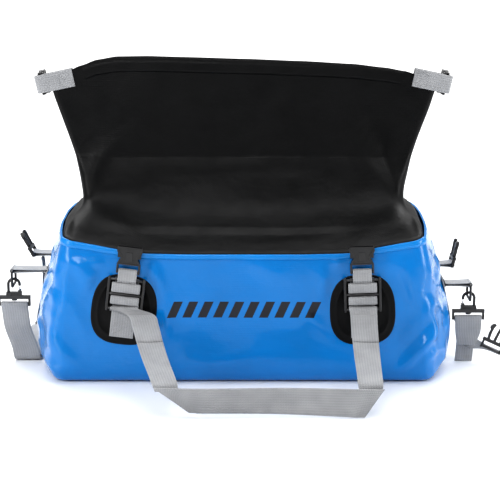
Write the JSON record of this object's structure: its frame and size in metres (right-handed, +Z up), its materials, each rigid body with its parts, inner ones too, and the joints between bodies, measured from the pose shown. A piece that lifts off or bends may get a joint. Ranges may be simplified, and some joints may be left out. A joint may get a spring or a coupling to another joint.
{
  "type": "dry bag",
  "caption": "Roll-top duffel dry bag in welded coated fabric, with a standing roll-top neck, webbing carry handles, side-release buckles and a clip-on shoulder strap.",
  "frame": {"origin": "centre of the base, on the floor the bag stands on", "axes": "+X along the bag's length, -Y towards the front face, +Z up to the mouth"},
  "size_m": [0.7255, 0.5756, 0.4271],
  "materials": {
    "blue_tarpaulin": "glossy coated fabric",
    "black_tarpaulin": "matte coated fabric",
    "grey_webbing": "ribbed woven webbing",
    "black_plastic": "satin moulded plastic",
    "hook_metal": "black coated",
    "steel_wire": "bright wire"
  },
  "bodies": {
    "bag": {"base_panel": "blue_tarpaulin", "front_panel": "blue_tarpaulin", "rear_panel": "blue_tarpaulin", "left_end_panel": "blue_tarpaulin", "right_end_panel": "blue_tarpaulin", "front_shoulder": "black_tarpaulin", "rear_shoulder": "black_tarpaulin", "front_left_patch": "black_tarpaulin", "front_left_anchor": "grey_webbing", "front_left_slider": "black_plastic", "front_right_patch": "black_tarpaulin", "front_right_anchor": "grey_webbing", "front_right_slider": "black_plastic", "rear_left_patch": "black_tarpaulin", "rear_left_anchor": "grey_webbing", "rear_left_slider": "black_plastic", "rear_right_patch": "black_tarpaulin", "rear_right_anchor": "grey_webbing", "rear_right_slider": "black_plastic", "left_end_webbing": "grey_webbing", "right_end_webbing": "grey_webbing", "left_end_tail": "grey_webbing"},
    "neck_lower": {"neck_lower_front": "black_tarpaulin", "neck_lower_rear": "black_tarpaulin", "neck_lower_sides": "black_tarpaulin"},
    "neck_upper": {"neck_upper_front": "black_tarpaulin", "neck_upper_rear": "black_tarpaulin", "neck_upper_sides": "black_tarpaulin", "front_stiffener": "black_tarpaulin", "rear_stiffener": "black_tarpaulin", "left_tab": "grey_webbing", "right_tab": "grey_webbing"},
    "left_mouth_buckle": {"left_mouth_buckle": "black_plastic"},
    "right_mouth_buckle": {"right_mouth_buckle": "black_plastic"},
    "front_handle": {"front_handle": "grey_webbing"},
    "front_left_compression": {"front_left_compression_webbing": "grey_webbing", "front_left_female_buckle": "black_plastic"},
    "front_right_compression": {"front_right_compression_webbing": "grey_webbing", "front_right_female_buckle": "black_plastic"},
    "rear_handle": {"rear_handle": "grey_webbing"},
    "rear_left_compression": {"rear_left_compression_webbing": "grey_webbing", "rear_left_male_buckle": "black_plastic"},
    "rear_right_compression": {"rear_right_compression_webbing": "grey_webbing", "rear_right_male_buckle": "black_plastic"},
    "left_end_buckle": {"left_end_buckle": "black_plastic"},
    "right_end_buckle": {"right_end_buckle": "black_plastic"},
    "left_ring": {"left_ring": "black_plastic"},
    "left_hook": {"left_hook": "hook_metal"},
    "left_gate": {"left_gate": "steel_wire"},
    "left_shoulder_strap": {"left_swivel_frame": "black_plastic", "left_shoulder_webbing": "grey_webbing"},
    "right_ring": {"right_ring": "black_plastic"},
    "right_hook": {"right_hook": "hook_metal"},
    "right_gate": {"right_gate": "steel_wire"},
    "right_shoulder_strap": {"right_swivel_frame": "black_plastic", "right_shoulder_webbing": "grey_webbing", "shoulder_male_buckle": "black_plastic"},
    "shoulder_female_buckle": {"shoulder_female_buckle": "black_plastic"}
  },
  "joints": [
    {"name": "neck_fold", "type": "hinge", "parent": "bag", "child": "neck_lower", "pos_m": [0, 0, 0.303], "axis": [-1, 0, 0], "range_deg": [-105, 105]},
    {"name": "neck_roll", "type": "hinge", "parent": "neck_lower", "child": "neck_upper", "pos_m": [0, -0.0078, 0.358], "axis": [1, 0, 0], "range_deg": [0, 170]},
    {"name": "left_mouth_buckle_swing", "type": "hinge", "parent": "neck_upper", "child": "left_mouth_buckle", "pos_m": [-0.282, 0, 0.392], "axis": [-0.2079, 0, 0.9781], "range_deg": [0, 170]},
    {"name": "right_mouth_buckle_swing", "type": "hinge", "parent": "neck_upper", "child": "right_mouth_buckle", "pos_m": [0.282, 0, 0.392], "axis": [-0.2079, 0, -0.9781], "range_deg": [0, 170]},
    {"name": "front_handle_lift", "type": "hinge", "parent": "bag", "child": "front_handle", "pos_m": [0, -0.158, 0.108], "axis": [-1, 0, 0], "range_deg": [0, 85]},
    {"name": "front_left_compression_swing", "type": "hinge", "parent": "bag", "child": "front_left_compression", "pos_m": [-0.16, -0.158, 0.148], "axis": [-1, 0, 0], "range_deg": [-100, 0]},
    {"name": "front_right_compression_swing", "type": "hinge", "parent": "bag", "child": "front_right_compression", "pos_m": [0.16, -0.158, 0.148], "axis": [-1, 0, 0], "range_deg": [-100, 0]},
    {"name": "rear_handle_lift", "type": "hinge", "parent": "bag", "child": "rear_handle", "pos_m": [0, 0.158, 0.108], "axis": [1, 0, 0], "range_deg": [0, 85]},
    {"name": "rear_left_compression_swing", "type": "hinge", "parent": "bag", "child": "rear_left_compression", "pos_m": [-0.16, 0.158, 0.148], "axis": [1, 0, 0], "range_deg": [-100, 0]},
    {"name": "rear_right_compression_swing", "type": "hinge", "parent": "bag", "child": "rear_right_compression", "pos_m": [0.16, 0.158, 0.148], "axis": [1, 0, 0], "range_deg": [-100, 0]},
    {"name": "left_end_buckle_swing", "type": "hinge", "parent": "bag", "child": "left_end_buckle", "pos_m": [-0.302, 0.018, 0.146], "axis": [0, -1, 0], "range_deg": [0, 115]},
    {"name": "right_end_buckle_swing", "type": "hinge", "parent": "bag", "child": "right_end_buckle", "pos_m": [0.3, 0.018, 0.13], "axis": [0, 1, 0], "range_deg": [0, 115]},
    {"name": "left_ring_swing", "type": "hinge", "parent": "bag", "child": "left_ring", "pos_m": [-0.325, -0.035, 0.134], "axis": [0, 1, 0], "range_deg": [0, 70]},
    {"name": "left_hook_swing", "type": "hinge", "parent": "left_ring", "child": "left_hook", "pos_m": [-0.325, -0.035, 0.112], "axis": [0, 1, 0], "range_deg": [0, 70]},
    {"name": "left_gate_press", "type": "hinge", "parent": "left_hook", "child": "left_gate", "pos_m": [-0.317, -0.035, 0.1028], "axis": [0, -1, 0], "range_deg": [0, 25], "stiffness_Nm_per_rad": 0.02},
    {"name": "left_swivel", "type": "hinge", "parent": "left_hook", "child": "left_shoulder_strap", "pos_m": [-0.325, -0.035, 0.094], "axis": [0, 0, 1], "range_deg": [0, 190]},
    {"name": "right_ring_swing", "type": "hinge", "parent": "bag", "child": "right_ring", "pos_m": [0.319, -0.035, 0.114], "axis": [0, -1, 0], "range_deg": [0, 70]},
    {"name": "right_hook_swing", "type": "hinge", "parent": "right_ring", "child": "right_hook", "pos_m": [0.319, -0.035, 0.092], "axis": [0, -1, 0], "range_deg": [0, 70]},
    {"name": "right_gate_press", "type": "hinge", "parent": "right_hook", "child": "right_gate", "pos_m": [0.311, -0.035, 0.0828], "axis": [0, 1, 0], "range_deg": [0, 25], "stiffness_Nm_per_rad": 0.02},
    {"name": "right_swivel", "type": "hinge", "parent": "right_hook", "child": "right_shoulder_strap", "pos_m": [0.319, -0.035, 0.074], "axis": [0, 0, 1], "range_deg": [-90, 90]},
    {"name": "shoulder_female_buckle_swing", "type": "hinge", "parent": "left_shoulder_strap", "child": "shoulder_female_buckle", "pos_m": [-0.308, 0.151, 0.0048], "axis": [1, 0, 0], "range_deg": [0, 90]}
  ]
}
